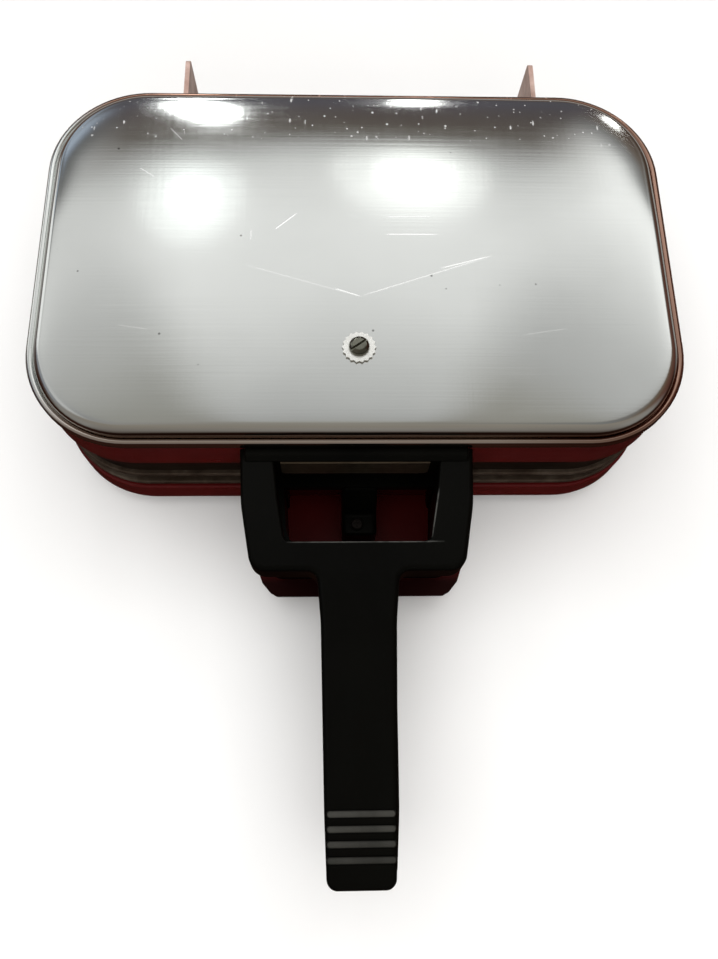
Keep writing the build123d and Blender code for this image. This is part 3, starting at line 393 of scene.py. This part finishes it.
M = {
    "chrome": chrome_lid(),
    "red": enamel("red_enamel", (0.048, 0.0020, 0.0022), (0.066, 0.0030, 0.0030), 0.26, 0.42, 0.22),
    # painted shade: a darker copy of the red enamel for the shield, which lies in the handles' shade
    "red_shield_shaded": enamel("red_shield_shaded", (0.036, 0.0012, 0.0014), (0.048, 0.0018, 0.0018), 0.36, 0.5, 0.10, front_shade=True),
    "black_screw": metal("black_screw", (0.010, 0.008, 0.007), (0.022, 0.018, 0.016), 0.35, 0.5, (400, 400, 400),
                         ((0.006, 0.004, 0.004), 0.45, 0.7, 0.8), 0.12, 0.8),
    "pan": metal("dark_pan", (0.012, 0.007, 0.004), (0.026, 0.015, 0.009), 0.45, 0.62, (60, 60, 600),
                 ((0.012, 0.008, 0.006), 0.45, 0.65, 0.7), 0.1, 0.6, 40.0),
    "plate": cast_plate(),
    "black": moulding(),
    "zinc": metal("zinc_steel", (0.50, 0.49, 0.46), (0.68, 0.67, 0.64), 0.22, 0.36, (300, 300, 300),
                  ((0.30, 0.25, 0.19), 0.55, 0.75, 0.6), 0.1),
    "dark_screw": metal("dark_screw", (0.13, 0.13, 0.10), (0.36, 0.36, 0.30), 0.14, 0.26, (400, 400, 400),
                        ((0.05, 0.045, 0.035), 0.45, 0.7, 0.8), 0.12),
    "washer": metal("washer_steel", (0.84, 0.84, 0.80), (0.97, 0.97, 0.93), 0.22, 0.38, (500, 500, 500),
                    ((0.42, 0.38, 0.30), 0.55, 0.74, 0.5), 0.2, 0.75),
    "bracket": metal("bracket_steel", (0.52, 0.31, 0.25), (0.76, 0.58, 0.51), 0.28, 0.44, (700, 40, 900),
                     ((0.22, 0.12, 0.09), 0.45, 0.68, 0.6), 0.12, 0.45, 70.0),
    "strip": metal("strip_metal", (0.100, 0.075, 0.048), (0.150, 0.118, 0.080), 0.3, 0.42, (30, 800, 800),
                   ((0.05, 0.036, 0.024), 0.5, 0.72, 0.6), 0.1, 0.9, 120.0),
    "sheath": metal("sheath_steel", (0.10, 0.085, 0.075), (0.22, 0.19, 0.16), 0.38, 0.55, (200, 200, 200),
                    ((0.05, 0.03, 0.025), 0.45, 0.7, 0.7), 0.12),
    "reflector": metal("reflector_sheet", (0.62, 0.62, 0.62), (0.78, 0.78, 0.77), 0.2, 0.34, (40, 700, 700),
                       ((0.32, 0.26, 0.18), 0.55, 0.8, 0.5), 0.06),
    "base": enamel("base_paint", (0.020, 0.020, 0.020), (0.036, 0.035, 0.034), 0.48, 0.66, 0.4),
    "rubber": rubber(),
    "pins": metal("pin_metal", (0.62, 0.54, 0.38), (0.78, 0.70, 0.52), 0.18, 0.3, (500, 30, 500),
                  ((0.26, 0.17, 0.09), 0.55, 0.75, 0.6), 0.06),
    "ceramic": ceramic("ceramic", (0.60, 0.56, 0.49), (0.78, 0.74, 0.67)),
}

USE = {
    "cover_screw": "dark_screw", "cover_washer": "washer", "cover_post": "zinc",
    "upper_band": "red", "upper_pan": "pan", "upper_grid_plate": "plate", "upper_element": "sheath",
    "upper_element_beads": "ceramic", "upper_element_saddles": "zinc", "upper_reflector": "reflector",
    "upper_spacers": "zinc", "upper_plate_screws": "zinc", "upper_handle": "black", "upper_handle_screws": "zinc",
    "name_strip": "strip", "hinge_lug_left": "bracket", "hinge_lug_right": "bracket", "lug_rivets": "zinc",
    "upper_lead_bush": "black", "hinge_rod": "zinc", "rod_clips": "zinc",
    "lower_band": "red", "lower_grid_plate": "plate", "lower_element": "sheath", "lower_element_beads": "ceramic",
    "lower_element_saddles": "zinc", "lower_reflector": "reflector", "base_cover": "base", "base_screws": "zinc",
    "feet": "rubber", "foot_screws": "zinc", "lower_handle": "black", "lower_handle_screws": "zinc",
    "handle_shield": "red_shield_shaded", "shield_screw": "black_screw", "shield_nut": "zinc",
    "hinge_bracket_left": "bracket", "hinge_bracket_right": "bracket", "bracket_rivets": "zinc",
    "inlet_shroud": "zinc", "inlet_block": "ceramic", "inlet_pins": "pins", "inlet_earth_springs": "pins",
    "inlet_screws": "zinc", "terminal_links": "pins", "lower_lead_bush": "black",
    "thermostat": "ceramic", "thermostat_bracket": "zinc",
}
for node, key in USE.items():
    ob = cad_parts[node]
    ob.data.materials.clear()
    ob.data.materials.append(M[key])


# --------------------------------------------------------------- lid panel
def add_mesh(name, verts, faces, material, smooth=True):
    me = bpy.data.meshes.new(name)
    me.from_pydata(verts, [], faces)
    me.validate()
    bm = bmesh.new()
    bm.from_mesh(me)
    bmesh.ops.recalc_face_normals(bm, faces=bm.faces)
    bm.to_mesh(me)
    bm.free()
    me.materials.append(material)
    for p in me.polygons:
        p.use_smooth = smooth
    ob = bpy.data.objects.new(name, me)
    scene.collection.objects.link(ob)
    return ob


BL, BD, BR = 250.0, 159.6, 39.5


def ring(inset, n_arc=20, n_long=44, n_short=24):
    """Points of the lid's outline moved inwards, always the same count."""
    hx, hy, r = BL / 2 - inset, BD / 2 - inset, BR - inset
    r = max(r, 0.8)
    cx, cy = hx - r, hy - r
    pts = []
    for k, (sx, sy) in enumerate(((1, 1), (-1, 1), (-1, -1), (1, -1))):
        a0 = math.pi / 2 * k
        for i in range(n_arc):
            a = a0 + math.pi / 2 * i / n_arc
            pts.append((sx * cx + r * math.cos(a), sy * cy + r * math.sin(a)))
        # straight run to the next corner
        a1 = a0 + math.pi / 2
        x0, y0 = sx * cx + r * math.cos(a1), sy * cy + r * math.sin(a1)
        nx, ny = ((-1, 1), (-1, -1), (1, -1), (1, 1))[k]
        x1, y1 = nx * cx + r * math.cos(a1), ny * cy + r * math.sin(a1)
        n = n_long if k % 2 == 0 else n_short
        for i in range(n):
            t = i / n
            pts.append((x0 + (x1 - x0) * t, y0 + (y1 - y0) * t))
    return pts


def crown(x, y):
    """Height of the lid's panel: a shallow dome with the slight waves of a pressing."""
    wave = 0.030 * math.sin(x / 15.0 + 0.6) * math.cos(y / 30.0) + 0.018 * math.sin(x / 8.5 - y / 19.0 + 1.9)
    rim = max(0.0, min(1.0, min(BL / 2 - 12 - abs(x), BD / 2 - 12 - abs(y)) / 14.0))
    return 7.9 - (x * x + y * y) / (2 * 5600.0) + wave * rim


def lid():
    prof = []                                # (inset, z or None, drop below the crown)
    prof.append((0.0, -2.0, None))
    for i in range(0, 13):                   # outside of the rolled bead
        a = math.pi * (1 - i / 12.0)
        prof.append((1.55 + 1.55 * math.cos(a), 0.6 + 1.55 * math.sin(a), None))
    prof.append((3.15, -0.10, None))         # crease
    prof.append((3.28, -0.05, None))
    prof.append((3.38, 0.30, None))
    d0, sh = 3.45, 3.7
    for i in range(0, 15):                   # shoulder
        a = math.radians(4 + 84 * i / 14.0)
        prof.append((d0 + sh * (1 - math.cos(a)), None, sh * (1 - math.sin(a))))
    for d in (7.5, 7.9, 8.3, 8.8, 9.4, 10.2, 11.0, 11.9, 13.0, 14.2, 15.6, 17.2, 19.2, 21.5, 24.0, 27.0, 30.5, 34.0, 38.0):
        prof.append((d, None, 0.0))
    verts, rings = [], []

    def step(v, a, b):
        t = max(0.0, min(1.0, (v - a) / (b - a)))
        return t * t * (3 - 2 * t)

    def edge_drop(d, y):
        """extra fall of the panel towards its rim, widest along the rear"""
        rear, front = step(y, 10, 60), step(-y, 10, 60)
        amp = 0.18 + 1.17 * rear - 0.08 * front
        length = 3.0 + 5.0 * rear - 0.5 * front
        return amp * math.exp(-max(0.0, d - d0 - sh) / length)

    def pulled(inset, y):
        """the front rim's roll is narrower, so its rings stand further out"""
        f = inset / 3.45 if inset <= 3.45 else max(0.0, 1 - (inset - 3.45) / 10.0)
        return y - 0.9 * f * step(-y, 45, 72)

    for inset, z, drop in prof:
        idx = []
        for (x, y) in ring(inset):
            y = pulled(inset, y)
            zz = z if z is not None else crown(x, y) - drop - edge_drop(inset, y)
            idx.append(len(verts))
            verts.append(P(x, y, zz))
        rings.append(idx)
    last = ring(38.0)
    for k in range(1, 30):                   # inner panel, shrinking to the middle
        f = 1 - k / 30.0
        idx = []
        for (x, y) in last:
            X, Y = x * f, y * f
            idx.append(len(verts))
            verts.append(P(X, Y, crown(X, Y) - edge_drop(38.0 + (1 - f) * 40, Y)))
        rings.append(idx)
    n = len(rings[0])
    faces = []
    for a, b in zip(rings, rings[1:]):
        for i in range(n):
            j = (i + 1) % n
            faces.append((a[i], a[j], b[j], b[i]))
    mid = len(verts)
    verts.append(P(0, 0, crown(0, 0)))
    for i in range(n):
        faces.append((rings[-1][i], rings[-1][(i + 1) % n], mid))
    # underside: the sheet turned back under the bead, then the inner face
    under = []
    for inset, z in ((0.8, -2.0), (0.8, -0.65), (3.7, -0.65), (3.9, 1.2), (5.4, 4.2), (9.5, 5.2), (30.0, 6.0)):
        idx = []
        for (x, y) in ring(inset):
            idx.append(len(verts))
            verts.append(P(x, y, z))
        under.append(idx)
    chain = [rings[0]] + under
    for a, b in zip(chain, chain[1:]):
        for i in range(n):
            j = (i + 1) % n
            faces.append((a[j], a[i], b[i], b[j]))
    mid2 = len(verts)
    verts.append(P(0, 0, 6.4))
    for i in range(n):
        faces.append((under[-1][(i + 1) % n], under[-1][i], mid2))
    ob = add_mesh("lid_cover", verts, faces, M["chrome"])
    ob.data.update()
    return ob


lid_cover = lid()
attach(lid_cover, "upper_half")
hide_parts("top_cover")


# ------------------------------------------------------------------- stage
def floor_material():
    mt = Mat("floor_paint")
    n = mt.noise(mt.coord(), 6.0, 4.0, 0.5)
    mt.set(color=mt.ramp(n, [(0.3, (0.86, 0.86, 0.855)), (0.7, (0.88, 0.88, 0.875))]),
           rough=mt.range(n, 0.3, 0.7, 0.7, 0.8), spec=0.2,
           normal=mt.bump(mt.noise(mt.coord(), 500.0, 3.0), 0.04, 0.0005))
    return mt.m


def make_floor():
    """Pale floor that turns up into a low round wall far behind the object."""
    prof = [(0.0, 0.0), (0.35, 0.0), (0.8, 0.0), (1.6, 0.0), (2.6, 0.0), (3.4, 0.0)]
    for i in range(1, 9):
        a = math.pi / 2 * i / 8
        prof.append((3.4 + 1.2 * math.sin(a), 1.2 * (1 - math.cos(a))))
    prof.append((4.6, 2.0))
    n, verts, faces = 96, [(0.0, 0.0, 0.0)], []
    for r, z in prof[1:]:
        for i in range(n):
            a = 2 * math.pi * i / n
            verts.append((r * math.cos(a), r * math.sin(a), z))
    for i in range(n):
        faces.append((0, 1 + i, 1 + (i + 1) % n))
    for k in range(len(prof) - 2):
        for i in range(n):
            a, b = 1 + k * n + i, 1 + k * n + (i + 1) % n
            faces.append((a, a + n, b + n, b))
    me = bpy.data.meshes.new("floor")
    me.from_pydata(verts, [], faces)
    for poly in me.polygons:
        poly.use_smooth = True
    me.materials.append(floor_material())
    ob = bpy.data.objects.new("floor", me)
    scene.collection.objects.link(ob)
    ob.visible_glossy = False
    return ob


floor = make_floor()


def area(name, loc, target, size, power, color=(1, 1, 1), shape="RECTANGLE", size_y=None, mirrored=True):
    li = bpy.data.lights.new(name, "AREA")
    li.shape = shape
    li.size = size
    if size_y is not None:
        li.size_y = size_y
    li.energy = power
    li.color = color
    ob = bpy.data.objects.new(name, li)
    scene.collection.objects.link(ob)
    ob.location = loc
    d = Vector(target) - Vector(loc)
    ob.rotation_euler = d.to_track_quat("-Z", "Y").to_euler()
    ob.visible_glossy = mirrored
    return ob


# room: a bright ceiling towards the hinge side, darker wall under it, a dim
# side towards the handles and a warm dark table level
world = bpy.data.worlds.new("studio")
scene.world = world
world.use_nodes = True
wn = world.node_tree
wn.nodes.clear()


def w_node(kind, **props):
    n = wn.nodes.new(kind)
    for k, v in props.items():
        setattr(n, k, v)
    return n


def w_math(op, a, b=None):
    n = w_node("ShaderNodeMath", operation=op)
    for i, v in enumerate((a, b)):
        if v is None:
            continue
        if hasattr(v, "is_output"):
            wn.links.new(v, n.inputs[i])
        else:
            n.inputs[i].default_value = v
    return n.outputs[0]


def w_step(v, a, b):
    n = w_node("ShaderNodeMapRange", interpolation_type="SMOOTHSTEP")
    wn.links.new(v, n.inputs[0])
    n.inputs[1].default_value = a
    n.inputs[2].default_value = b
    return n.outputs[0]


def w_ramp(v, stops):
    n = w_node("ShaderNodeValToRGB")
    wn.links.new(v, n.inputs[0])
    e = n.color_ramp.elements
    while len(e) < len(stops):
        e.new(0.5)
    for el, (p, c) in zip(e, stops):
        el.position = p
        c = (c, c, c) if not isinstance(c, tuple) else c
        el.color = (*c, 1.0)
    return n.outputs[0]


def w_mix(f, a, b):
    n = w_node("ShaderNodeMix", data_type="RGBA")
    wn.links.new(f, n.inputs[0])
    for sock, v in ((n.inputs[6], a), (n.inputs[7], b)):
        if hasattr(v, "is_output"):
            wn.links.new(v, sock)
        else:
            sock.default_value = (*v, 1.0)
    return n.outputs[2]


w_tc = w_node("ShaderNodeTexCoord")
w_sep = w_node("ShaderNodeSeparateXYZ")
wn.links.new(w_tc.outputs["Generated"], w_sep.inputs[0])
wx, wy, wz = w_sep.outputs
flat_len = w_math("SQRT", w_math("ADD", w_math("MULTIPLY", wx, wx), w_math("ADD", w_math("MULTIPLY", wy, wy), 1e-6)))
facing = w_math("DIVIDE", wy, flat_len)          # 1 towards +Y, -1 towards -Y
front = w_ramp(wz, [(0.0, (0.11, 0.055, 0.04)), (0.15, (0.13, 0.08, 0.062)), (0.28, 0.10), (0.50, (0.095, 0.088, 0.105)),
                    (0.69, (0.10, 0.08, 0.068)), (0.718, (0.135, 0.12, 0.105)), (0.740, 0.50), (0.760, 0.82),
                    (0.80, 0.98), (0.85, 0.94), (0.89, 0.74), (0.92, 0.56), (0.945, 0.45), (0.965, (0.38, 0.37, 0.34)),
                    (1.0, (0.30, 0.275, 0.245))])
left = w_ramp(wz, [(0.0, (0.10, 0.055, 0.04)), (0.30, (0.12, 0.075, 0.06)), (0.44, 0.17), (0.52, (0.48, 0.56, 0.68)),
                   (0.57, (0.24, 0.27, 0.33)), (0.60, 0.14), (0.645, 0.22), (0.680, 0.40), (0.713, 0.62), (0.74, 0.80),
                   (0.786, 0.78), (0.839, 0.58), (0.90, (0.35, 0.345, 0.32)), (1.0, (0.30, 0.275, 0.245))])
right = w_ramp(wz, [(0.0, (0.05, 0.03, 0.02)), (0.45, (0.085, 0.055, 0.042)), (0.55, (0.16, 0.13, 0.11)), (0.60, 0.24),
                    (0.638, 0.44), (0.672, 0.92), (0.705, 1.18), (0.74, 1.20), (0.778, 0.93), (0.83, 0.60),
                    (0.87, 0.50), (0.90, (0.34, 0.33, 0.30)), (1.0, (0.28, 0.26, 0.23))])
far_left = w_ramp(wz, [(0.0, (0.06, 0.03, 0.025)), (0.14, 0.25), (0.26, 1.05), (0.55, 1.05), (0.70, 0.66), (0.839, 0.55),
                       (0.90, 0.32), (1.0, (0.30, 0.275, 0.245))])
dim_left = w_ramp(wz, [(0.0, (0.05, 0.025, 0.02)), (0.28, (0.09, 0.07, 0.065)), (0.38, (0.26, 0.27, 0.31)),
                       (0.60, (0.30, 0.31, 0.33)), (0.72, 0.60), (0.839, 0.55), (0.90, 0.32), (1.0, (0.30, 0.275, 0.245))])
far_right = w_ramp(wz, [(0.0, (0.07, 0.028, 0.020)), (0.3, (0.11, 0.046, 0.034)), (0.62, (0.13, 0.070, 0.050)),
                        (0.80, (0.15, 0.11, 0.08)), (0.92, 0.20), (1.0, (0.28, 0.26, 0.23))])
back = w_ramp(wz, [(0.0, (0.13, 0.115, 0.10)), (0.20, (0.25, 0.235, 0.22)), (0.50, (0.27, 0.25, 0.23)),
                   (0.70, (0.26, 0.235, 0.21)), (0.90, (0.27, 0.24, 0.205)), (1.0, (0.29, 0.268, 0.235))])
sideways = w_math("DIVIDE", wx, flat_len)        # 1 towards +X, -1 towards -X
sky_l = w_mix(w_step(sideways, -0.68, -0.78), left, far_left)
sky_l = w_mix(w_step(sideways, -0.86, -0.93), sky_l, dim_left)
sky_r = w_mix(w_step(sideways, 0.74, 0.86), right, far_right)
sky = w_mix(w_step(wx, -0.05, 0.05), sky_l, sky_r)
sky = w_mix(w_step(facing, 0.87, 0.95), sky, front)
sky = w_mix(w_step(facing, 0.05, -0.35), sky, back)
# below the horizon: the shaded table in front, the pale floor behind
pale = w_math("MULTIPLY", w_step(facing, 0.15, 0.55), w_step(wz, -0.86, -0.68))
below = w_mix(pale, (0.030, 0.012, 0.008), (0.34, 0.33, 0.315))
sky = w_mix(w_step(wz, -0.01, -0.09), sky, below)
w_bg = w_node("ShaderNodeBackground")
w_out = w_node("ShaderNodeOutputWorld")
wn.links.new(sky, w_bg.inputs[0])
wn.links.new(w_bg.outputs[0], w_out.inputs[0])
w_bg.inputs[1].default_value = 1.0

mid = P(0, -40, -20)
# soft boxes that light the floor and every dull surface without a mirror image
area("top_soft", (0.0, -0.1, 2.3), (0.0, -0.1, 0.0), 3.2, 67.0, size_y=3.2, mirrored=False)
area("front_soft", (0.0, -2.2, 1.4), mid, 2.0, 16.0, size_y=1.2, mirrored=False)


# the ceiling lamps that the lid mirrors; each is placed by where its image stands
def lamp(name, px, py, tilt, dist, size, size_y, radiance, color=(1, 1, 1)):
    eye = P(*o)
    hit = P(px, py, 7.0)
    d = (hit - eye).normalized()
    n = Vector((px / 5600.0 + tilt[0], py / 5600.0 + tilt[1], 1.0)).normalized()
    r = d - n * (2 * d.dot(n))
    power = radiance * math.pi * math.pi * size * size_y / 4.0
    return area(name, hit + r * dist, hit, size, power, color, shape="ELLIPSE", size_y=size_y)


lamp("lamp_left", -65.0, 25.0, (0, 0), 1.50, 0.11, 0.09, 0.9, (0.94, 0.99, 1.0))
lamp("glow_left", -65.0, 22.5, (0, 0), 1.52, 0.24, 0.19, 0.42, (0.94, 1.0, 0.99))
lamp("lamp_right", 24.0, 36.0, (0, 0), 1.50, 0.20, 0.10, 0.80, (0.97, 1.0, 0.98))
lamp("glow_right", 21.0, 35.0, (0, 0), 1.52, 0.36, 0.19, 0.42, (0.97, 1.0, 0.98))
lamp("lamp_far_left", -63.0, 64.0, (0, 0.090), 1.90, 0.17, 0.50, 6.0, (0.97, 0.99, 1.0))
lamp("lamp_far_right", 24.7, 69.0, (0, 0.135), 1.90, 0.11, 0.14, 9.0)
lamp("lamp_corner", 105.9, 61.9, (0.10, 0.105), 1.90, 0.10, 0.14, 8.0)
